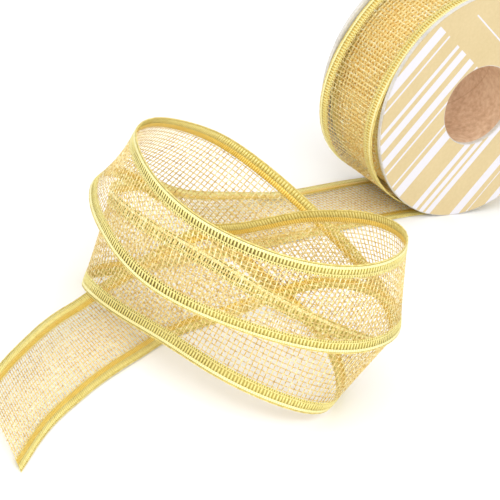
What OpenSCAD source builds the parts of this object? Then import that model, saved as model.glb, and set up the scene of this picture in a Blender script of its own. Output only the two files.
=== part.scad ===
// Spool of wired mesh ribbon, with its loose end pulled off in two loops.
// The ribbon is woven open mesh with a thicker woven hem along each edge,
// and a fine wire lies in each hem. The spool is two board flanges glued to
// the ends of a board core tube, with a printed paper label on each flange.
//
// Frame: the origin is the middle of the core's bore. +Y runs along the
// spool's axis, the printed front flange faces -Y, +Z is up, and the ribbon
// leaves the bottom of the roll towards -X. The surface that the spool
// stands on is at z = -flange_d / 2. Lengths are in millimetres.

/* [Spool] */
// Outer diameter of both flanges
flange_d = 106; // [90:1:130]
// Thickness of a flange's board
flange_t = 1.6; // [1:0.1:3]
// Diameter of the bore through the core
bore_d = 37; // [30:0.5:60]
// Wall of the core tube
core_wall = 3; // [1.5:0.1:5]
// Thickness of the printed paper on each flange
label_t = 0.3; // [0.2:0.05:0.5]
// How far the paper stays inside the board's edges
label_inset = 0.4; // [0.2:0.1:2]

/* [Ribbon] */
// Full width of the ribbon, hems included
ribbon_w = 38; // [25:1:50]
// Width of each woven hem
hem_w = 5.5; // [3:0.5:6]
// Thickness of a hem
hem_t = 1; // [0.6:0.1:1.5]
// Thickness of the mesh between the hems
web_t = 0.5; // [0.3:0.1:0.8]
// Depth and height of the channel that holds the edge wire
channel = 0.6; // [0.5:0.05:0.8]
// Diameter of the edge wire
wire_d = 0.56; // [0.4:0.02:0.7]
// Free width left between the two flanges beside the ribbon
side_play = 1.4; // [0.8:0.1:4]

/* [Roll] */
// Outer radius of the tightly wound ribbon
pack_r = 50; // [40:0.5:52]
// Extra height of the loose last turn where it springs off the roll
bulge = 4.8; // [0:0.2:8]

/* [Hidden] */
$fn = 96;
flange_r = flange_d / 2;
bore_r = bore_d / 2;
core_r = bore_r + core_wall;
inner_y = (ribbon_w + side_play) / 2;
outer_y = inner_y + flange_t;
edge = ribbon_w / 2;
hem_in = edge - hem_w;
hem_edge = edge - channel;
tape_t = 0.2;
tape_w = 25;
tape_angle = 60;
glue = 0.7;
roll_gap = 0.3;
floor_gap = 0.1;

// The loose last turn runs once round the roll, growing from the wound
// ribbon's surface to just short of the flange's rim at the bottom.
turn_start = 285;
turn_end = -90;
turn_step = 5;
turn_r0 = pack_r + roll_gap + hem_t / 2;
turn_r1 = flange_r - floor_gap - hem_t / 2;
bulge_at = 208;
bulge_half = 60;

// The free ribbon's route: x, y, height of its middle above the surface, and
// lean, where 0 stands on edge, 90 lies flat with the back hem on the right,
// and a positive lean tips the top to the right of the way it runs.
sub = 3;
route = [
  // flat off the roll, then turning up on edge
  [0, 0, 0.6, 90], [-18, 0, 0.6, 90], [-36, -2, 0.7, 90],
  [-54, -5, 0.8, 90], [-72, -8, 1.2, 89], [-91, -11, 3, 84],
  [-110, -15, 5, 78], [-128, -19, 7, 72], [-146, -24, 11, 60],
  [-163, -28, 15, 45], [-180, -33, 17, 30],
  // lower loop: left fold, front wall, right fold
  [-198, -39, 20, 12], [-211, -50, 24, -7], [-217, -64, 27, -18],
  [-218, -79, 28, -23], [-217, -94, 29, -26], [-214, -110, 30, -28],
  [-211, -126, 30, -27], [-207, -141, 29, -25], [-200, -156, 28, -16],
  [-188, -167, 25, -3], [-173, -169, 20.5, 16],
  // back wall, rising towards the left
  [-159, -162, 18, 28], [-149, -150, 18, 26], [-141, -135, 18.5, 21],
  [-136, -119, 20, 16], [-136, -102, 23, 16], [-141, -86, 28, 19],
  [-150, -71, 36, 18], [-163, -61, 45, 6], [-178, -57, 54, -14],
  [-194, -58, 62, -31], [-209, -63, 68, -37], [-223, -71, 71, -30],
  // upper loop: left fold, front wall, right fold
  [-235, -83, 71, -16], [-242, -98, 70, -9], [-245, -114, 67, -5],
  [-244, -130, 64, -1], [-239, -145, 62, 6], [-229, -159, 60, 11],
  [-216, -170, 58, 12], [-201, -179, 57, 9], [-185, -182, 57, 2],
  [-169, -178, 57, -4], [-156, -168, 57, -9], [-148, -154, 55, -11],
  // return run inside the loops, coming down to the surface
  [-145, -138, 52, -17], [-146, -123, 47, -25], [-149, -108, 41, -28],
  [-154, -96, 33, -27], [-160, -85, 24, -16], [-168, -76, 17, 15],
  [-179, -73, 12, 54],
  // tail, its front hem on the surface and its back hem a little above it
  [-192, -73, 6, 76], [-208, -79.5, 5.5, 75], [-223.5, -87.5, 4.5, 78],
  [-238.5, -95.5, 5, 76], [-252.5, -104, 5.5, 71], [-267, -114.5, 6.5, 66],
  [-281.5, -125, 7, 64], [-296, -137, 7, 63], [-310, -150.5, 7.2, 61]
];

// Where the hems bend flat on the surface the mesh is drawn askew: its cross
// threads stay parallel while the ribbon turns. Station, then degrees.
askew = [
  [51, 0], [52, -3], [53, -9], [54, -18], [55, -19], [56, -23],
  [57, -30], [58, -35], [59, -39], [60, -42], [61, -44]
];
lead_end = 10;
lower_end = 21;
rise_end = 33;
upper_end = 45;

turns = (turn_start - turn_end) / turn_step;
stops = len(route) - 1;
last = turns + stops * sub;

function lump(f) = abs(f - bulge_at) < bulge_half
  ? bulge * pow(cos((f - bulge_at) / bulge_half * 90), 2) : 0;
function turn_radius(f) = lump(f)
  + turn_r0 + (turn_r1 - turn_r0) * (turn_start - f) / (turn_start - turn_end);
function turn_point(i) = let (f = turn_start - i * turn_step)
  [turn_radius(f) * cos(f), 0, turn_radius(f) * sin(f)];

function control(i) = i < 0 ? 2 * route[0] - route[1]
  : i > stops ? 2 * route[stops] - route[stops - 1] : route[i];
function blend(a, b, c, d, u) = (pow(1 - u, 3) * a
  + (3 * pow(u, 3) - 6 * u * u + 4) * b
  + (-3 * pow(u, 3) + 3 * u * u + 3 * u + 1) * c + pow(u, 3) * d) / 6;
function free_point(k) = let (i = min(floor(k / sub), stops - 1), u = k / sub - i)
  blend(control(i - 1), control(i), control(i + 1), control(i + 2), u);

function middle(i) = i <= turns ? turn_point(i)
  : let (p = free_point(i - turns)) [p[0], p[1], p[2] - flange_r];
middles = [for (i = [0 : last]) middle(i)];

function unit(v) = v / norm(v);
function heading(i) = unit(middles[min(i + 1, last)] - middles[max(i - 1, 0)]);
// the direction across the ribbon, towards the back or top hem
function across(i) = i <= turns ? [0, 1, 0]
  : let (t = heading(i), right = unit(cross(t, [0, 0, 1])), up = cross(right, t),
      lean = free_point(i - turns)[3], drag = lookup((i - turns) / sub, askew))
    cos(drag) * (cos(lean) * up + sin(lean) * right) + sin(drag) * t;
function face(i) = unit(cross(heading(i), across(i)));
function ring_points(i, section) = let (w = across(i), n = face(i))
  [for (p = section) middles[i] + p[0] * w + p[1] * n];

// A strip of the given section along rings a to b of the route.
module strip(section, a, b) {
  m = len(section);
  rings = b - a + 1;
  points = [for (i = [a : b]) each ring_points(i, section)];
  polyhedron(points, concat(
    [[for (j = [0 : m - 1]) j]],
    [[for (j = [m - 1 : -1 : 0]) (rings - 1) * m + j]],
    [for (i = [0 : rings - 2]) for (j = [0 : m - 1])
      [i * m + j, (i + 1) * m + j, (i + 1) * m + (j + 1) % m]],
    [for (i = [0 : rings - 2]) for (j = [0 : m - 1])
      [i * m + j, (i + 1) * m + (j + 1) % m, i * m + (j + 1) % m]]),
    convexity = 10);
}

web_section = [[-hem_in, -web_t / 2], [hem_in, -web_t / 2],
  [hem_in, web_t / 2], [-hem_in, web_t / 2]];
back_section = [[hem_in, -hem_t / 2], [edge, -hem_t / 2], [edge, -channel / 2],
  [hem_edge, -channel / 2], [hem_edge, channel / 2], [edge, channel / 2],
  [edge, hem_t / 2], [hem_in, hem_t / 2]];
front_section = [for (j = [7 : -1 : 0]) [-back_section[j][0], back_section[j][1]]];
function wire_section(side) = [for (j = [0 : 5])
  [side * (edge - channel / 2) + wire_d / 2 * cos(60 * j), wire_d / 2 * sin(60 * j)]];

function station(k) = turns + k * sub;
turn_rings = [0, turns];
lead_rings = [turns, station(lead_end)];
lower_rings = [station(lead_end), station(lower_end)];
rise_rings = [station(lower_end), station(rise_end)];
upper_rings = [station(rise_end), station(upper_end)];
tail_rings = [station(upper_end), last];
module web(r) { color([0.86, 0.72, 0.4]) strip(web_section, r[0], r[1]); }
module front_hem(r) { color([0.93, 0.78, 0.25]) strip(front_section, r[0], r[1]); }
module back_hem(r) { color([0.93, 0.78, 0.25]) strip(back_section, r[0], r[1]); }

// A ring about the spool's axis from radius a to b, between y0 and y1.
module ring(a, b, y0, y1) {
  rotate([-90, 0, 0]) rotate_extrude() translate([a, y0]) square([b - a, y1 - y0]);
}

module core_tube() {
  color([0.62, 0.48, 0.34]) ring(bore_r, core_r, -inner_y, inner_y);
}
module front_flange() {
  color([0.85, 0.83, 0.8]) ring(bore_r, flange_r, -outer_y, -inner_y);
}
module back_flange() {
  color([0.85, 0.83, 0.8]) ring(bore_r, flange_r, inner_y, outer_y);
}
module front_label() {
  color([0.94, 0.87, 0.68])
    ring(bore_r + label_inset, flange_r - label_inset, -outer_y - label_t, -outer_y);
}
module back_label() {
  color([0.94, 0.87, 0.68])
    ring(bore_r + label_inset, flange_r - label_inset, outer_y, outer_y + label_t);
}
// bead of glue in the corner between the core and a flange
module glue_bead(side) {
  color([0.9, 0.86, 0.7]) rotate([-90, 0, 0]) rotate_extrude()
    polygon(side < 0
      ? [[core_r, -inner_y], [core_r + glue, -inner_y], [core_r, -inner_y + glue]]
      : [[core_r, inner_y - glue], [core_r + glue, inner_y], [core_r, inner_y]]);
}
module front_glue_ring() { glue_bead(-1); }
module back_glue_ring() { glue_bead(1); }
// tape that holds the ribbon's inner end to the core
module start_tape() {
  color([0.92, 0.9, 0.82]) rotate([-90, 0, 0]) rotate_extrude(angle = tape_angle)
    translate([core_r, -tape_w / 2]) square([tape_t, tape_w]);
}
module wound_web() {
  color([0.8, 0.6, 0.28]) ring(core_r + tape_t, pack_r - 0.2, -hem_in, hem_in);
}
module wound_front_hem() {
  color([0.93, 0.78, 0.25]) ring(core_r + tape_t, pack_r, -hem_edge, -hem_in);
}
module wound_back_hem() {
  color([0.93, 0.78, 0.25]) ring(core_r + tape_t, pack_r, hem_in, hem_edge);
}
module wound_front_wire() {
  color([0.75, 0.62, 0.25]) ring(core_r + glue + 0.1, pack_r - 0.3, -edge, -hem_edge);
}
module wound_back_wire() {
  color([0.75, 0.62, 0.25]) ring(core_r + glue + 0.1, pack_r - 0.3, hem_edge, edge);
}

module turn_web() { web(turn_rings); }
module turn_front_hem() { front_hem(turn_rings); }
module turn_back_hem() { back_hem(turn_rings); }
module lead_web() { web(lead_rings); }
module lead_front_hem() { front_hem(lead_rings); }
module lead_back_hem() { back_hem(lead_rings); }
module lower_web() { web(lower_rings); }
module lower_front_hem() { front_hem(lower_rings); }
module lower_back_hem() { back_hem(lower_rings); }
module rise_web() { web(rise_rings); }
module rise_front_hem() { front_hem(rise_rings); }
module rise_back_hem() { back_hem(rise_rings); }
module upper_web() { web(upper_rings); }
module upper_front_hem() { front_hem(upper_rings); }
module upper_back_hem() { back_hem(upper_rings); }
module tail_web() { web(tail_rings); }
module tail_front_hem() { front_hem(tail_rings); }
module tail_back_hem() { back_hem(tail_rings); }
module front_wire() { color([0.7, 0.58, 0.25]) strip(wire_section(-1), 0, last); }
module back_wire() { color([0.7, 0.58, 0.25]) strip(wire_section(1), 0, last); }

core_tube();
front_flange();
back_flange();
front_label();
back_label();
front_glue_ring();
back_glue_ring();
start_tape();
wound_web();
wound_front_hem();
wound_back_hem();
wound_front_wire();
wound_back_wire();
turn_web();
turn_front_hem();
turn_back_hem();
lead_web();
lead_front_hem();
lead_back_hem();
lower_web();
lower_front_hem();
lower_back_hem();
rise_web();
rise_front_hem();
rise_back_hem();
upper_web();
upper_front_hem();
upper_back_hem();
tail_web();
tail_front_hem();
tail_back_hem();
front_wire();
back_wire();
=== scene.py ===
"""A spool of wired gold mesh ribbon, its loose end pulled off in two loops and a tail.

All lengths are metres, in the same frame as the CAD model: the origin is the middle of
the core's bore, +Y runs along the spool's axis and +Z is up.
"""
import math

import bpy
import numpy as np
from mathutils import Matrix, Vector


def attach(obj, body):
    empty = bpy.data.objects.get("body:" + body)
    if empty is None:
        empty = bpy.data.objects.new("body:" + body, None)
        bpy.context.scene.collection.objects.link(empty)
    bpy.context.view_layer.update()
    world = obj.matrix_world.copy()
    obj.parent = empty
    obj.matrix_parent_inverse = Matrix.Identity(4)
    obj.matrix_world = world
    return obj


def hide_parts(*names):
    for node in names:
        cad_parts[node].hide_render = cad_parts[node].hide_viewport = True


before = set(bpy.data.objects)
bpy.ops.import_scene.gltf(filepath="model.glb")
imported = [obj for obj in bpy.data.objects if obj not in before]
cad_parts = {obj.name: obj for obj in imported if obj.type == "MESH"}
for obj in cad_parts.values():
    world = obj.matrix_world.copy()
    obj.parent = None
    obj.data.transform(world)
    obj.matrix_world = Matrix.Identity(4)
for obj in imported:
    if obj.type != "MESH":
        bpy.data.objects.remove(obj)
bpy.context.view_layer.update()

# ---------------------------------------------------------------- the ribbon's sizes
FLANGE_R = 0.053
HEM_IN = 0.0135         # where the mesh ends and a hem begins
PACK_R = 0.050          # the tightly wound ribbon
TURN = (285, -90)       # the loose last turn, in degrees round the roll
TURN_R = (0.0508, 0.0524)   # its radius at its start and at its end
BULGE = (0.0048, 208, 60)   # its slack: how far it stands off, and where and half how
                            # wide in degrees
ON_ROLL = 0.33          # length of the loose turn
SUB = 12                # pieces of curve from one station to the next
STEP = 0.0025           # from one section of a hem strip to the next
CELL = 0.0020           # from one mesh thread to the next
WARPS = 14              # pairs of threads along the mesh
THREAD = 0.00022        # a long thread is a triangle in a circle this wide; a cross
                        # thread is a bar this thick and a little narrower
PAIR = 0.00010          # from the middle of a pair to each thread
SHY = 0.0006            # the outermost threads stop this short of the hems
TUCK = 0.0003           # the cross threads reach this far into the hems
UNEVEN = 0.0001         # how far a cross thread may wander
WEAVE = 0.00014         # how far a long thread goes over and under, loose
ROLL_WEAVE = 0.0001     # and on the roll
ROLL_THREAD = 0.0012    # on the roll the threads are wide, single and flat
ROLL_FLAT = 0.7
ROLL_DEEP = 0.00008     # half the thickness of a cross thread on the roll
SKIN = 0.0001           # the top layer lies this far under and over the roll's surface
BARS = 0.0013           # from one bar of the hem's ladder to the next
DOTS = 0.0010           # from one dot of the row along the mesh to the next

# x, y, height of the middle above the surface, and lean in degrees
ROUTE = [
    (0, 0, 0.0006, 90), (-0.018, 0, 0.0006, 90), (-0.036, -0.002, 0.0007, 90),
    (-0.054, -0.005, 0.0008, 90), (-0.072, -0.008, 0.0012, 89), (-0.091, -0.011, 0.003, 84),
    (-0.11, -0.015, 0.005, 78), (-0.128, -0.019, 0.007, 72), (-0.146, -0.024, 0.011, 60),
    (-0.163, -0.028, 0.015, 45), (-0.18, -0.033, 0.017, 30), (-0.198, -0.039, 0.02, 12),
    (-0.211, -0.05, 0.024, -7), (-0.217, -0.064, 0.027, -18), (-0.218, -0.079, 0.028, -23),
    (-0.217, -0.094, 0.029, -26), (-0.214, -0.11, 0.03, -28), (-0.211, -0.126, 0.03, -27),
    (-0.207, -0.141, 0.029, -25), (-0.2, -0.156, 0.028, -16), (-0.188, -0.167, 0.025, -3),
    (-0.173, -0.169, 0.0205, 16), (-0.159, -0.162, 0.018, 28), (-0.149, -0.15, 0.018, 26),
    (-0.141, -0.135, 0.0185, 21), (-0.136, -0.119, 0.02, 16), (-0.136, -0.102, 0.023, 16),
    (-0.141, -0.086, 0.028, 19), (-0.15, -0.071, 0.036, 18), (-0.163, -0.061, 0.045, 6),
    (-0.178, -0.057, 0.054, -14), (-0.194, -0.058, 0.062, -31), (-0.209, -0.063, 0.068, -37),
    (-0.223, -0.071, 0.071, -30), (-0.235, -0.083, 0.071, -16), (-0.242, -0.098, 0.07, -9),
    (-0.245, -0.114, 0.067, -5), (-0.244, -0.13, 0.064, -1), (-0.239, -0.145, 0.062, 6),
    (-0.229, -0.159, 0.06, 11), (-0.216, -0.17, 0.058, 12), (-0.201, -0.179, 0.057, 9),
    (-0.185, -0.182, 0.057, 2), (-0.169, -0.178, 0.057, -4), (-0.156, -0.168, 0.057, -9),
    (-0.148, -0.154, 0.055, -11), (-0.145, -0.138, 0.052, -17), (-0.146, -0.123, 0.047, -25),
    (-0.149, -0.108, 0.041, -28), (-0.154, -0.096, 0.033, -27), (-0.16, -0.085, 0.024, -16),
    (-0.168, -0.076, 0.017, 15), (-0.179, -0.073, 0.012, 54),
    (-0.192, -0.073, 0.006, 76), (-0.208, -0.0795, 0.0055, 75),
    (-0.2235, -0.0875, 0.0045, 78), (-0.2385, -0.0955, 0.005, 76),
    (-0.2525, -0.104, 0.0055, 71), (-0.267, -0.1145, 0.0065, 66),
    (-0.2815, -0.125, 0.007, 64), (-0.296, -0.137, 0.007, 63),
    (-0.31, -0.1505, 0.0072, 61)
]
# station and degrees by which the cross threads are drawn askew along the tail
ASKEW = [(51, 0), (52, -3), (53, -9), (54, -18), (55, -19), (56, -23),
         (57, -30), (58, -35), (59, -39), (60, -42), (61, -44)]


# ---------------------------------------------------------------- paths
class Path:
    """A line down the middle of the ribbon, with the ways along, across and off its face."""

    def __init__(self, points, across, closed=False):
        points = np.asarray(points, float)
        if closed:
            ahead, behind = np.roll(points, -1, 0), np.roll(points, 1, 0)
            along = ahead - behind
        else:
            along = np.gradient(points, axis=0)
        along /= np.linalg.norm(along, axis=1)[:, None]
        across /= np.linalg.norm(across, axis=1)[:, None]
        if closed:
            points, along, across = (np.vstack([a, a[:1]]) for a in (points, along, across))
        self.closed = closed
        self.parts = np.hstack([points, along, across])
        steps = np.linalg.norm(np.diff(points, axis=0), axis=1)
        self.reach = np.r_[0, np.cumsum(steps)]
        self.length = self.reach[-1]

    def at(self, where):
        """Middle, along, across and face at distances from the start."""
        parts = np.stack([np.interp(where, self.reach, self.parts[:, k]) for k in range(9)], 1)
        middle, along, across = parts[:, :3], parts[:, 3:6], parts[:, 6:]
        along = along / np.linalg.norm(along, axis=1)[:, None]
        across = across / np.linalg.norm(across, axis=1)[:, None]
        face = np.cross(along, across)
        return middle, along, across, face / np.linalg.norm(face, axis=1)[:, None]

    def stops(self, step):
        """Distances about one step apart, from end to end."""
        count = max(2, round(self.length / step))
        return np.linspace(0, self.length, count + 1)

    def between(self, step):
        """Distances one step apart, half a step in from the ends."""
        count = max(1, int(self.length / step))
        return (np.arange(count) + 0.5) * self.length / count


def loose_path():
    """Once round the roll, then off along the route."""
    angles = np.arange(TURN[0], TURN[1], -1.0)
    share = (TURN[0] - angles) / (TURN[0] - TURN[1])
    off = (angles - BULGE[1]) / BULGE[2]
    lump = np.where(abs(off) < 1, BULGE[0] * np.cos(off * math.pi / 2) ** 2, 0)
    radius = TURN_R[0] + (TURN_R[1] - TURN_R[0]) * share + lump
    turn = np.radians(angles)
    round_roll = np.stack([radius * np.cos(turn), 0 * turn, radius * np.sin(turn)], 1)
    stations = np.array(ROUTE, float)
    stations[:, 2] -= FLANGE_R
    held = np.vstack([2 * stations[:1] - stations[1:2], stations,
                      2 * stations[-1:] - stations[-2:-1]])
    free = []
    for i in range(len(stations) - 1):
        a, b, c, d = held[i:i + 4]
        for u in np.arange(0, 1, 1 / SUB):
            free.append(((1 - u) ** 3 * a + (3 * u ** 3 - 6 * u * u + 4) * b
                         + (-3 * u ** 3 + 3 * u * u + 3 * u + 1) * c + u ** 3 * d) / 6)
    free = np.array(free + [stations[-1]])
    middle = np.vstack([round_roll, free[:, :3]])
    along = np.gradient(middle, axis=0)
    along /= np.linalg.norm(along, axis=1)[:, None]
    across = np.tile([0.0, 1.0, 0.0], (len(middle), 1))
    start = len(round_roll)
    right = np.cross(along[start:], [0, 0, 1.0])
    right /= np.linalg.norm(right, axis=1)[:, None]
    up = np.cross(right, along[start:])
    lean = np.radians(free[:, 3])[:, None]
    drag = np.radians(np.interp(np.arange(len(free)) / SUB, *zip(*ASKEW)))[:, None]
    across[start:] = (np.cos(drag) * (np.cos(lean) * up + np.sin(lean) * right)
                      + np.sin(drag) * along[start:])
    return Path(middle, across)


def wound_path(radius):
    """One full turn of the wound ribbon, the same way round as the loose turn."""
    turn = np.radians(np.arange(270, -90, -1.0))
    points = np.stack([radius * np.cos(turn), 0 * turn, radius * np.sin(turn)], 1)
    return Path(points, np.tile([0.0, 1.0, 0.0], (len(points), 1)), closed=True)


# ---------------------------------------------------------------- gathering faces
class Heap:
    """Faces from several makers, turned into one mesh at the end."""

    def __init__(self):
        self.points, self.corners, self.sizes, self.kinds, self.maps = [], [], [], [], []
        self.finishes, self.count = [], 0

    def add(self, points, faces, finish, maps=None):
        faces = np.asarray(faces)
        if finish not in self.finishes:
            self.finishes.append(finish)
        self.points.append(np.asarray(points, float))
        self.corners.append((faces + self.count).ravel())
        self.sizes.append(np.full(len(faces), faces.shape[1]))
        self.kinds.append(np.full(len(faces), self.finishes.index(finish)))
        self.maps.append(np.zeros((faces.size, 2)) if maps is None else maps)
        self.count += len(points)

    def add_mesh(self, mesh, finish):
        """A mesh of four-sided faces from Geometry Nodes."""
        points = np.zeros(len(mesh.vertices) * 3)
        mesh.vertices.foreach_get("co", points)
        corners = np.zeros(len(mesh.loops), int)
        mesh.loops.foreach_get("vertex_index", corners)
        self.add(points.reshape(-1, 3), corners.reshape(-1, 4), finish)

    def build(self, name, body, slot):
        mesh = bpy.data.meshes.new(name)
        corners, sizes = np.concatenate(self.corners), np.concatenate(self.sizes)
        mesh.vertices.add(self.count)
        mesh.vertices.foreach_set("co", np.vstack(self.points).ravel())
        mesh.loops.add(len(corners))
        mesh.loops.foreach_set("vertex_index", corners)
        mesh.polygons.add(len(sizes))
        mesh.polygons.foreach_set("loop_start", np.r_[0, np.cumsum(sizes)[:-1]])
        mesh.polygons.foreach_set("loop_total", sizes)
        mesh.polygons.foreach_set("material_index", np.concatenate(self.kinds))
        mesh.uv_layers.new(name="strip").data.foreach_set("uv", np.vstack(self.maps).ravel())
        mesh.update(calc_edges=True)
        mesh.validate()
        for finish in self.finishes:
            mesh.materials.append(finish)
        piece = bpy.data.objects.new(name, mesh)
        bpy.context.collection.objects.link(piece)
        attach(piece, body)
        return piece


def sweep(heap, path, section, finish):
    """A strip of one section along a path. The section runs anticlockwise, in metres
    across the ribbon and off its face, and its map is distance along and across."""
    where = path.stops(STEP)
    middle, _, across, face = path.at(where)
    section = np.asarray(section, float)
    count, size = len(where), len(section)
    points = (middle[:, None] + section[None, :, :1] * across[:, None]
              + section[None, :, 1:] * face[:, None])
    rings = count - 1 if path.closed else count
    points = points[:rings]
    i, j = np.meshgrid(np.arange(count - 1), np.arange(size), indexing="ij")
    ahead, beside = (i + 1) % rings if path.closed else i + 1, (j + 1) % size
    faces = np.stack([i * size + j, i * size + beside,
                      ahead * size + beside, ahead * size + j], -1).reshape(-1, 4)
    maps = np.stack([np.stack([where[i], section[j, 0]], -1),
                     np.stack([where[i], section[beside, 0]], -1),
                     np.stack([where[i + 1], section[beside, 0]], -1),
                     np.stack([where[i + 1], section[j, 0]], -1)], 2).reshape(-1, 2)
    heap.add(points.reshape(-1, 3), faces, finish, maps)
    if not path.closed:
        fan = np.array([[0, k + 1, k] for k in range(1, size - 1)])
        heap.add(points[0], fan, finish)
        heap.add(points[-1], fan[:, ::-1], finish)


def threads(heap, path, offsets, width, finish, rise=0.0, flat=1.0):
    """Fine three-sided threads along the ribbon, each going over and under the cross
    threads in turn, and its neighbours the other way about."""
    where = path.stops(CELL)
    middle, _, across, face = path.at(where)
    rings = len(where) - 1 if path.closed else len(where)
    swing = np.where(np.arange(rings) % 2 == 0, 1.0, -1.0) * rise
    corner = np.radians([90, 210, 330])
    for k, offset in enumerate(offsets):
        way = 1 if k % 2 == 0 else -1
        a = offset + width / 2 * np.cos(corner)
        b = width / 2 * np.sin(corner) * flat
        points = (middle[:rings, None] + a[None, :, None] * across[:rings, None]
                  + (b[None, :, None] + way * swing[:, None, None]) * face[:rings, None])
        i, j = np.meshgrid(np.arange(len(where) - 1), np.arange(3), indexing="ij")
        ahead, beside = (i + 1) % rings if path.closed else i + 1, (j + 1) % 3
        faces = np.stack([i * 3 + j, i * 3 + beside, ahead * 3 + beside, ahead * 3 + j], -1)
        heap.add(points.reshape(-1, 3), faces.reshape(-1, 4), finish)
        if not path.closed:
            heap.add(points[0], [[0, 2, 1]], finish)
            heap.add(points[-1], [[0, 1, 2]], finish)


# ---------------------------------------------------------------- repeated cross pieces
def cross_tree():
    """Geometry Nodes that lay one small bar across the ribbon at every guide point."""
    tree = bpy.data.node_groups.new("cross_bars", "GeometryNodeTree")
    kinds = [("Guide", "NodeSocketGeometry"), ("Across", "NodeSocketFloat"),
             ("Along", "NodeSocketFloat"), ("Thickness", "NodeSocketFloat"),
             ("Unevenness", "NodeSocketFloat"), ("Seed", "NodeSocketInt"),
             ("Finish", "NodeSocketMaterial")]
    for name, kind in kinds:
        tree.interface.new_socket(name, in_out="INPUT", socket_type=kind)
    tree.interface.new_socket("Bars", in_out="OUTPUT", socket_type="NodeSocketGeometry")

    def node(kind, settings=(), **links):
        made = tree.nodes.new(kind)
        for key, value in dict(settings).items():
            setattr(made, key, value)
        for key, value in links.items():
            socket = made.inputs[int(key[1:])] if key[0] == "_" else made.inputs[key]
            if isinstance(value, bpy.types.NodeSocket):
                tree.links.new(value, socket)
            else:
                socket.default_value = value
        return made

    given = node("NodeGroupInput").outputs
    size = node("ShaderNodeCombineXYZ", X=given["Along"], Y=given["Across"], Z=given["Thickness"])
    bar = node("GeometryNodeMeshCube", Size=size.outputs[0])
    ways = [node("GeometryNodeInputNamedAttribute", {"data_type": "FLOAT_VECTOR"}, Name=name)
            for name in ("along", "across", "face")]
    first = node("FunctionNodeAlignRotationToVector", {"axis": "Y"}, Vector=ways[1].outputs[0])
    second = node("FunctionNodeAlignRotationToVector", {"axis": "Z", "pivot_axis": "Y"},
                  Rotation=first.outputs[0], Vector=ways[2].outputs[0])
    spread = node("FunctionNodeRandomValue", {"data_type": "FLOAT"}, Seed=given["Seed"])
    for key, value in (("Min", -1.0), ("Max", 1.0)):
        [s for s in spread.inputs if s.name == key and s.type == "VALUE"][0].default_value = value
    number = [s for s in spread.outputs if s.type == "VALUE"][0]
    amount = node("ShaderNodeMath", {"operation": "MULTIPLY"}, _0=number, _1=given["Unevenness"])
    shift = node("ShaderNodeVectorMath", {"operation": "SCALE"},
                 Vector=ways[0].outputs[0], Scale=amount.outputs[0])
    moved = node("GeometryNodeSetPosition", Geometry=given["Guide"], Offset=shift.outputs[0])
    laid = node("GeometryNodeInstanceOnPoints", Points=moved.outputs[0],
                Instance=bar.outputs[0], Rotation=second.outputs[0])
    real = node("GeometryNodeRealizeInstances", Geometry=laid.outputs[0])
    done = node("GeometryNodeSetMaterial", Geometry=real.outputs[0], Material=given["Finish"])
    out = tree.nodes.new("NodeGroupOutput")
    tree.links.new(done.outputs[0], out.inputs[0])
    return tree


CROSS = cross_tree()


def cross_bars(heap, path, where, inner, outer, width, low, high, finish, uneven=0.0, seed=1):
    """Bars across the ribbon from inner to outer, between two heights off its middle."""
    middle, along, across, face = path.at(where)
    points = middle + (inner + outer) / 2 * across + (low + high) / 2 * face
    guide = bpy.data.meshes.new("guide")
    guide.vertices.add(len(points))
    guide.vertices.foreach_set("co", points.ravel())
    for name, way in (("along", along), ("across", across), ("face", face)):
        guide.attributes.new(name, "FLOAT_VECTOR", "POINT").data.foreach_set(
            "vector", way.ravel())
    holder = bpy.data.objects.new("guide", guide)
    bpy.context.collection.objects.link(holder)
    grow = holder.modifiers.new("cross_bars", "NODES")
    grow.node_group = CROSS
    values = {"Across": abs(outer - inner), "Along": width, "Thickness": high - low,
              "Unevenness": uneven, "Seed": seed, "Finish": finish}
    for socket in CROSS.interface.items_tree:
        if socket.in_out == "INPUT" and socket.name in values:
            grow[socket.identifier] = values[socket.name]
    view = bpy.context.evaluated_depsgraph_get()
    made = bpy.data.meshes.new_from_object(holder.evaluated_get(view))
    heap.add_mesh(made, finish)
    bpy.data.objects.remove(holder)
    bpy.data.meshes.remove(made)


# ---------------------------------------------------------------- finishes
class Value:
    """A socket in a shader that can be added to, multiplied and so on."""

    def __init__(self, shader, socket):
        self.shader, self.socket = shader, socket

    def _with(self, operation, a, b):
        made = self.shader.node("ShaderNodeMath", {"operation": operation}, _0=a, _1=b)
        return made[0]

    def __add__(self, other): return self._with("ADD", self, other)
    def __radd__(self, other): return self._with("ADD", other, self)
    def __sub__(self, other): return self._with("SUBTRACT", self, other)
    def __rsub__(self, other): return self._with("SUBTRACT", other, self)
    def __mul__(self, other): return self._with("MULTIPLY", self, other)
    def __rmul__(self, other): return self._with("MULTIPLY", other, self)
    def __truediv__(self, other): return self._with("DIVIDE", self, other)
    def __lt__(self, other): return self._with("LESS_THAN", self, other)
    def __gt__(self, other): return self._with("GREATER_THAN", self, other)


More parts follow.
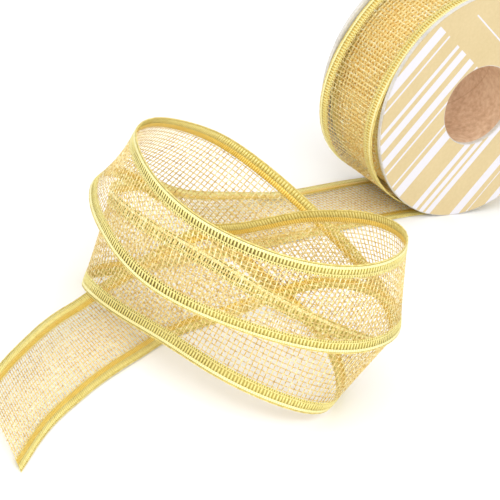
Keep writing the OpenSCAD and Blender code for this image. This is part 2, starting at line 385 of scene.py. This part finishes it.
class Shader:
    """One material, made node by node."""

    def __init__(self, name):
        self.material = bpy.data.materials.new(name)
        self.material.use_nodes = True
        self.tree = self.material.node_tree
        self.tree.nodes.clear()

    def node(self, kind, settings=(), **sockets):
        """Adds a node, sets it up, fills its sockets, and returns its outputs by name or place."""
        made = self.tree.nodes.new(kind)
        for key, value in dict(settings).items():
            if key == "stops":
                ramp = made.color_ramp
                while len(ramp.elements) < len(value):
                    ramp.elements.new(1.0)
                for stop, (place, colour) in zip(ramp.elements, value):
                    stop.position, stop.color = place, (*colour, 1)
            elif key == "blend":
                made.color_ramp.interpolation = value
            else:
                setattr(made, key, value)
        for key, value in sockets.items():
            name = key.replace("_", " ").strip()
            socket = made.inputs[int(name)] if name.isdigit() else made.inputs[name]
            self.fill(socket, value)
        return Outputs(self, made)

    def fill(self, socket, value):
        if isinstance(value, Value):
            self.tree.links.new(value.socket, socket)
        elif isinstance(value, tuple) and len(value) == 3 and socket.type == "RGBA":
            socket.default_value = (*value, 1)
        else:
            socket.default_value = value

    def surface(self, **sockets):
        """The finish itself, and the end of the material."""
        shade = self.node("ShaderNodeBsdfPrincipled", (), **sockets)
        self.node("ShaderNodeOutputMaterial", (), Surface=shade[0])
        return self.material

    def place(self):
        return self.node("ShaderNodeTexCoord")["Object"]

    def parts(self, vector):
        made = self.node("ShaderNodeSeparateXYZ", (), Vector=vector)
        return made[0], made[1], made[2]

    def noise(self, place, scale, detail=2.0, rough=0.5):
        return self.node("ShaderNodeTexNoise", (), Vector=place, Scale=scale, Detail=detail,
                         Roughness=rough)[0]

    def ramp(self, value, stops, blend="LINEAR"):
        return self.node("ShaderNodeValToRGB", {"stops": stops, "blend": blend}, Fac=value)[0]

    def mix(self, share, a, b):
        made = self.node("ShaderNodeMix", {"data_type": "RGBA"}, _0=share)
        self.fill([s for s in made.inputs if s.name == "A" and s.type == "RGBA"][0], a)
        self.fill([s for s in made.inputs if s.name == "B" and s.type == "RGBA"][0], b)
        return Value(self, [s for s in made.outputs_ if s.type == "RGBA"][0])

    def bump(self, height, strength, distance):
        return self.node("ShaderNodeBump", (), Height=height, Strength=strength,
                         Distance=distance)["Normal"]

    def math(self, operation, a, b=0.0):
        return self.node("ShaderNodeMath", {"operation": operation}, _0=a, _1=b)[0]


class Outputs:
    """A node's outputs, by name or place."""

    def __init__(self, shader, made):
        self.shader, self.inputs, self.outputs_ = shader, made.inputs, made.outputs

    def __getitem__(self, key):
        return Value(self.shader, self.outputs_[key])


def tint(r, g, b):
    """A colour given as it looks on a screen, 0 to 255, as the light it gives back."""
    return tuple(c / 12.92 if c <= 0.04045 else ((c + 0.055) / 1.055) ** 2.4
                 for c in (r / 255, g / 255, b / 255))


def gold_thread(name, dark, mid, pale, painted_glint):
    """Metallic thread, a little different in tone from place to place, with painted glints."""
    s = Shader(name)
    place = s.place()
    patch, grain = s.noise(place, 60.0), s.noise(place, 1000.0, 1.0)
    colour = s.ramp(grain * 0.8 + patch * 0.2,
                    [(0.34, dark), (0.46, mid), (0.58, pale), (0.66, painted_glint)])
    return s.surface(Base_Color=colour, Metallic=0.25, Roughness=grain * 0.35 + 0.2,
                     Specular_IOR_Level=0.6)


def hem_gold(name, dark, mid, pale, rib=0.00065, ribbed=0.14, golden=None, painted_light=None):
    """Woven metallic band, ribbed across its length. Where the band still lies on the roll, the
    wound ribbon shows through as golden. Elsewhere patches of painted light lie on it."""
    s = Shader(name)
    grain = s.noise(s.place(), 1500.0, 2.0)
    patch = s.noise(s.place(), 90.0)
    strip = s.node("ShaderNodeUVMap", {"uv_map": "strip"})[0]
    u = s.parts(strip)[0]
    wave = s.math("SINE", u * (2 * math.pi / rib))
    colour = s.ramp(grain * 0.5 + patch * 0.2 + wave * ribbed + 0.15,
                    [(0.25, dark), (0.5, mid), (0.78, pale)])
    # Patches of painted light over the band by noise, then golden where it lies on the roll.
    if painted_light:
        share = s.ramp(s.noise(s.place(), 14.0, 1.0), [(0.46, (0, 0, 0)), (0.6, (1, 1, 1))])
        colour = s.mix(s.parts(share)[0] * 0.8, colour, painted_light)
        colour = s.mix((u < ON_ROLL) * 1.0, colour, golden)
    return s.surface(Base_Color=colour, Metallic=0.3, Roughness=grain * 0.3 + 0.25,
                     Specular_IOR_Level=0.6,
                     Normal=s.bump(wave * 0.5 + grain * 0.5, 0.6, 0.00015))


def roll_gold(name, dark, mid, pale):
    """Many layers of mesh seen together, dense, with painted glints."""
    s = Shader(name)
    place = s.place()
    x, y, z = s.parts(place)
    turn = s.math("ARCTAN2", z, x)
    strands = s.math("SINE", y * (2 * math.pi / CELL))
    cross = s.math("SINE", turn * (2 * math.pi * PACK_R / CELL))
    grain = s.noise(place, 1800.0, 2.0)
    painted_glint = s.noise(place, 900.0, 1.0)
    colour = s.ramp(grain * 0.5 + painted_glint * 0.25 + strands * 0.08 + cross * 0.08 + 0.1,
                    [(0.30, dark), (0.48, mid), (0.66, pale)])
    return s.surface(Base_Color=colour, Metallic=0.45, Roughness=painted_glint * 0.4 + 0.2,
                     Normal=s.bump(strands * 0.3 + cross * 0.3 + grain, 0.7, 0.0002))


def layered_edge():
    """The wound hems: fine rings, one for each layer."""
    s = Shader("wound_hem_layers")
    place = s.place()
    x, y, z = s.parts(place)
    radius = s.math("SQRT", x * x + z * z)
    rings = s.math("SINE", radius * (2 * math.pi / 0.0007) + s.noise(place, 120.0) * 3)
    grain = s.noise(place, 1500.0)
    colour = s.ramp(rings * 0.25 + grain * 0.4 + 0.25,
                    [(0.2, tint(176, 136, 48)), (0.5, tint(238, 204, 96)),
                     (0.8, tint(250, 232, 140))])
    return s.surface(Base_Color=colour, Metallic=0.35, Roughness=grain * 0.3 + 0.3,
                     Normal=s.bump(rings + grain, 0.6, 0.0002))


def wire_metal():
    """The fine wire in each hem's edge."""
    s = Shader("edge_wire_metal")
    grain = s.noise(s.place(), 700.0)
    colour = s.ramp(grain, [(0.3, tint(206, 184, 96)), (0.7, tint(246, 230, 150))])
    return s.surface(Base_Color=colour, Metallic=0.3, Roughness=grain * 0.3 + 0.35)


def kraft():
    """Brown board wound in a tube: fibres, flecks and the seam between its turns."""
    s = Shader("kraft_board_tube")
    place = s.place()
    x, y, z = s.parts(place)
    turn = s.math("ARCTAN2", z, x)
    fibres = s.noise(s.node("ShaderNodeMapping", (), Vector=place, Scale=(300.0, 60.0, 300.0))[0],
                     4.0, 4.0, 0.6)
    flecks = s.noise(place, 520.0, 3.0)
    mottle = s.noise(place, 70.0, 3.0)
    winding = s.math("FRACT", turn / (2 * math.pi) + y / 0.07)
    seam = (winding < 0.012) * 1.0
    colour = s.ramp(fibres * 0.1 + flecks * 0.5 + mottle * 0.4 - seam * 0.08,
                    [(0.34, tint(196, 160, 129)), (0.5, tint(217, 184, 152)),
                     (0.64, tint(231, 203, 172))])
    return s.surface(Base_Color=colour, Roughness=flecks * 0.15 + 0.75,
                     Specular_IOR_Level=0.25,
                     Normal=s.bump(fibres * 0.2 + flecks - seam * 2, 0.2, 0.0002))


def board(name, dark, pale):
    """Pressed board, faintly mottled."""
    s = Shader(name)
    place = s.place()
    fibres, mottle = s.noise(place, 900.0, 3.0), s.noise(place, 80.0, 3.0)
    colour = s.ramp(fibres * 0.5 + mottle * 0.5, [(0.35, dark), (0.65, pale)])
    return s.surface(Base_Color=colour, Roughness=fibres * 0.15 + 0.7,
                     Specular_IOR_Level=0.3, Normal=s.bump(fibres, 0.25, 0.0001))


# White stripes on the front paper, as (middle, width) in millimetres across them, and the
# line up the paper where they end. The thin line lies beyond it.
STRIPES = [(-47.6, 4.6), (-42, 0.8), (-33.8, 1.8), (-28.8, 4), (-21.8, 4), (-16.6, 1),
           (-8.8, 0.8), (-3.6, 4.4), (10.6, 2.8), (15, 2.2), (19.2, 2.8), (33, 4.2),
           (38, 0.8), (46, 3)]
STRIPE_ANGLE = 53
STRIPE_END = 0.0108
LINE_AT, LINE_W, LINE_FROM = 0.0258, 0.0007, -0.037
WHITE = tint(222, 220, 226)


def printed_paper(name, striped):
    """Cream paper, with white stripes that stop at one line and a thin line beyond it."""
    s = Shader(name)
    place = s.place()
    x, y, z = s.parts(place)
    fibres, mottle = s.noise(place, 1400.0, 3.0), s.noise(place, 45.0, 2.0)
    grains = s.noise(place, 700.0, 2.0)
    cream = s.mix(mottle * 0.5 + grains * 0.5, tint(198, 177, 129), tint(220, 200, 156))
    if striped:
        c, n = math.cos(math.radians(STRIPE_ANGLE)), math.sin(math.radians(STRIPE_ANGLE))
        over, up = x * n - z * c, x * c + z * n
        stops, span = [(0.0, (0, 0, 0))], 120.0
        for middle, width in STRIPES:
            stops.append(((middle - width / 2) / span + 0.5, (1, 1, 1)))
            stops.append(((middle + width / 2) / span + 0.5, (0, 0, 0)))
        bars = s.ramp(over * (1000 / span) + 0.5, stops, "CONSTANT")
        bars_here = s.parts(bars)[0] * (up < STRIPE_END)
        line = (s.math("ABSOLUTE", up - LINE_AT) < LINE_W / 2) * (over > LINE_FROM)
        cream = s.mix(s.math("MAXIMUM", bars_here, line), cream, WHITE)
    return s.surface(Base_Color=cream, Roughness=fibres * 0.12 + 0.5, Specular_IOR_Level=0.35,
                     Normal=s.bump(fibres, 0.15, 0.00005))


def plain_finish(name, dark, pale, rough):
    """Glue and tape: two close shades and little else."""
    s = Shader(name)
    grain = s.noise(s.place(), 400.0)
    return s.surface(Base_Color=s.ramp(grain, [(0.3, dark), (0.7, pale)]),
                     Roughness=grain * 0.2 + rough)


MESH_GOLD = gold_thread("gold_mesh_thread", tint(208, 170, 90), tint(240, 210, 130),
                        tint(254, 234, 164), tint(255, 250, 214))
WOUND_GOLD = gold_thread("wound_mesh_thread", tint(238, 188, 90), tint(255, 226, 138),
                         tint(255, 242, 176), tint(255, 254, 238))
HEM_BRIGHT = hem_gold("hem_bars", tint(212, 190, 94), tint(242, 228, 142), tint(255, 248, 194))
HEM_PALE = hem_gold("hem_pale_band", tint(230, 214, 122), tint(250, 240, 170),
                    tint(255, 252, 212), 0.0009)
HEM_DEEP = hem_gold("hem_golden_band", tint(196, 150, 40), tint(232, 194, 72),
                    tint(252, 228, 132), 0.0010, 0.22)
HEM_OLIVE = hem_gold("hem_back_gaps", tint(176, 150, 52), tint(206, 182, 78),
                     tint(228, 208, 116))
# Painted shade: the dark ground in the front hems' groove and between their bars, with patches of
# painted light, and golden where the band lies on the roll.
HEM_PAINTED_SHADE = hem_gold("hem_front_gaps_painted_shade", tint(78, 64, 14), tint(116, 98, 30), tint(160, 138, 58),
                     golden=tint(222, 186, 84), painted_light=tint(200, 180, 88))
ROLL_MESH = roll_gold("wound_mesh_gold", tint(172, 122, 36), tint(230, 184, 82),
                      tint(255, 228, 142))
ROLL_HEM = layered_edge()
WIRE = wire_metal()
KRAFT = kraft()
GREY_BOARD = board("grey_board", tint(196, 192, 184), tint(226, 222, 214))
STRIPED = printed_paper("striped_paper", True)
PLAIN_PAPER = printed_paper("plain_paper", False)
GLUE = plain_finish("dried_glue", tint(206, 196, 160), tint(232, 224, 196), 0.35)
TAPE = plain_finish("paper_tape", tint(214, 206, 180), tint(238, 232, 212), 0.6)


# ---------------------------------------------------------------- the ribbon
def band(inner, outer, low, high):
    """A flat section with its corners taken off, anticlockwise."""
    c = min((high - low), abs(outer - inner)) * 0.3
    a, b = min(inner, outer), max(inner, outer)
    return [(a + c, low), (b - c, low), (b, low + c), (b, high - c),
            (b - c, high), (a + c, high), (a, high - c), (a, low + c)]


def mesh(heap, path, finish, rise, seed, width=THREAD, spread=PAIR, flat=1.0,
         deep=THREAD / 2):
    """The open mesh: fine threads along it and across it, in pairs unless spread is 0."""
    middles = np.linspace(-HEM_IN + SHY, HEM_IN - SHY, WARPS)
    lines = path.between(CELL)
    for shift in (-spread, spread) if spread else (0,):
        threads(heap, path, middles + shift, width, finish, rise, flat)
        cross_bars(heap, path, lines + shift, -HEM_IN - TUCK, HEM_IN + TUCK,
                   width * 0.9, -deep, deep, finish, UNEVEN, seed)


def hem(heap, path, side, thick, seed, gaps):
    """One woven hem: strips as inner and outer edge and lowest and highest face, then the
    ladder's bars on the front and on the back, and the dotted row beside the mesh."""
    t = thick
    # gaps colours the groove by the wire and the ground under the front's bars and dots: on the
    # loose ribbon it is painted shade, on the roll golden.
    for inner, outer, low, high, finish in (
            (0.01715, 0.01825, 0.00002, 0.00032, HEM_PALE),
            (0.0182, 0.01845, 0.0, 0.0001, gaps),
            (0.0147, 0.0172, -0.00002, 0.00003, gaps),
            (0.0157, 0.01845, -0.00011, -0.00003, HEM_OLIVE),
            (0.0137, 0.0158, -0.00028, -0.00007, HEM_DEEP),
            (0.01435, 0.0148, 0.0, 0.00022, HEM_BRIGHT),
            (0.0136, 0.0144, -0.00004, 0.0, gaps)):
        sweep(heap, path, band(side * inner, side * outer, low * t, high * t), finish)
    cross_bars(heap, path, path.between(BARS), side * 0.0147, side * 0.0172, 0.00066,
               0.00001 * t, 0.00026 * t, HEM_BRIGHT, 0.00008, seed)
    cross_bars(heap, path, path.between(BARS), side * 0.0157, side * 0.0183, 0.0008,
               -0.00028 * t, -0.0001 * t, HEM_BRIGHT, 0.00006, seed + 2)
    cross_bars(heap, path, path.between(DOTS), side * 0.0134, side * 0.0144, 0.0005,
               -0.0001 * t, 0.00018 * t, HEM_BRIGHT, 0.00014, seed + 1)


loose = loose_path()
web = Heap()
mesh(web, loose, MESH_GOLD, WEAVE, 3)
web = web.build("ribbon_mesh", "loose_ribbon", "gold_mesh")
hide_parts(*(run + "_web" for run in ("turn", "lead", "lower", "rise", "upper", "tail")))
for word, side in (("front", -1), ("back", 1)):
    heap = Heap()
    hem(heap, loose, side, 1.0, 20 + side, HEM_PAINTED_SHADE)
    heap.build("ribbon_%s_hem" % word, "loose_ribbon", "gold_hem")
    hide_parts(*("%s_%s_hem" % (run, word)
                            for run in ("turn", "lead", "lower", "rise", "upper", "tail")))

wound = wound_path(PACK_R - SKIN)
layer = Heap()
mesh(layer, wound, WOUND_GOLD, ROLL_WEAVE, 5, ROLL_THREAD, 0, ROLL_FLAT, ROLL_DEEP)
layer.build("wound_top_mesh", "spool", "gold_mesh_roll")
for word, side in (("front", -1), ("back", 1)):
    layer = Heap()
    hem(layer, wound_path(PACK_R + SKIN), side, 0.4, 40 + side, HEM_DEEP)
    layer.build("wound_top_%s_hem" % word, "spool", "gold_hem")

# ---------------------------------------------------------------- finishes on the CAD nodes
for names, finish in (
        (("core_tube",), KRAFT), (("front_flange", "back_flange"), GREY_BOARD),
        (("front_label",), STRIPED), (("back_label",), PLAIN_PAPER),
        (("front_glue_ring", "back_glue_ring"), GLUE), (("start_tape",), TAPE),
        (("wound_web",), ROLL_MESH), (("wound_front_hem", "wound_back_hem"), ROLL_HEM),
        (("wound_front_wire", "wound_back_wire", "front_wire", "back_wire"), WIRE)):
    for name in names:
        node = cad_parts[name]
        node.data.materials.clear()
        node.data.materials.append(finish)


# ---------------------------------------------------------------- floor, lights and camera
def floor():
    mesh_ = bpy.data.meshes.new("floor")
    reach, level = 3.0, -FLANGE_R
    mesh_.from_pydata([(-reach, -reach, level), (reach, -reach, level),
                       (reach, reach, level), (-reach, reach, level)], [], [(0, 1, 2, 3)])
    s = Shader("pale_floor")
    mesh_.materials.append(s.surface(Base_Color=(0.98, 0.98, 0.98), Roughness=0.9,
                                     Specular_IOR_Level=0.1))
    made = bpy.data.objects.new("floor", mesh_)
    bpy.context.collection.objects.link(made)


def lamp(name, place, aim, size, power):
    light = bpy.data.lights.new(name, "AREA")
    light.shape, light.size, light.energy = "SQUARE", size, power
    made = bpy.data.objects.new(name, light)
    made.location = place
    made.rotation_euler = (Vector(aim) - Vector(place)).to_track_quat("-Z", "Y").to_euler()
    bpy.context.collection.objects.link(made)


floor()
lamp("key_light", (-1.2, -0.9, 1.6), (-0.1, 0, 0), 1.2, 9)
lamp("fill_light", (-0.9, -1.5, 0.6), (-0.1, 0, 0), 1.8, 12)
world = bpy.data.worlds.new("studio")
bpy.context.scene.world = world
world.use_nodes = True
world.node_tree.nodes["Background"].inputs["Color"].default_value = (1, 1, 1, 1)
world.node_tree.nodes["Background"].inputs["Strength"].default_value = 1.0
bpy.context.scene.view_settings.view_transform = "Standard"

# The camera looks back from the front left, a little above, and is tilted to one side.
TURN_TO, LIFT, TILT = math.radians(-40.44), math.radians(23.9), math.radians(12.95)
AIM, AWAY = Vector((-0.3851, -0.3464, 0.1294)), 0.780
back = Vector((math.sin(TURN_TO) * math.cos(LIFT), -math.cos(TURN_TO) * math.cos(LIFT),
               math.sin(LIFT)))
side = Vector((math.cos(TURN_TO), math.sin(TURN_TO), 0))
up = back.cross(side)
side, up = (side * math.cos(TILT) + up * math.sin(TILT),
            up * math.cos(TILT) - side * math.sin(TILT))
lens = bpy.data.cameras.new("camera")
lens.sensor_width, lens.lens = 36.0, 214.4
lens.clip_start = 0.05
camera = bpy.data.objects.new("camera", lens)
camera.matrix_world = Matrix.Translation(AIM + back * AWAY) @ Matrix(
    (side, up, back)).transposed().to_4x4()
bpy.context.collection.objects.link(camera)
bpy.context.scene.camera = camera
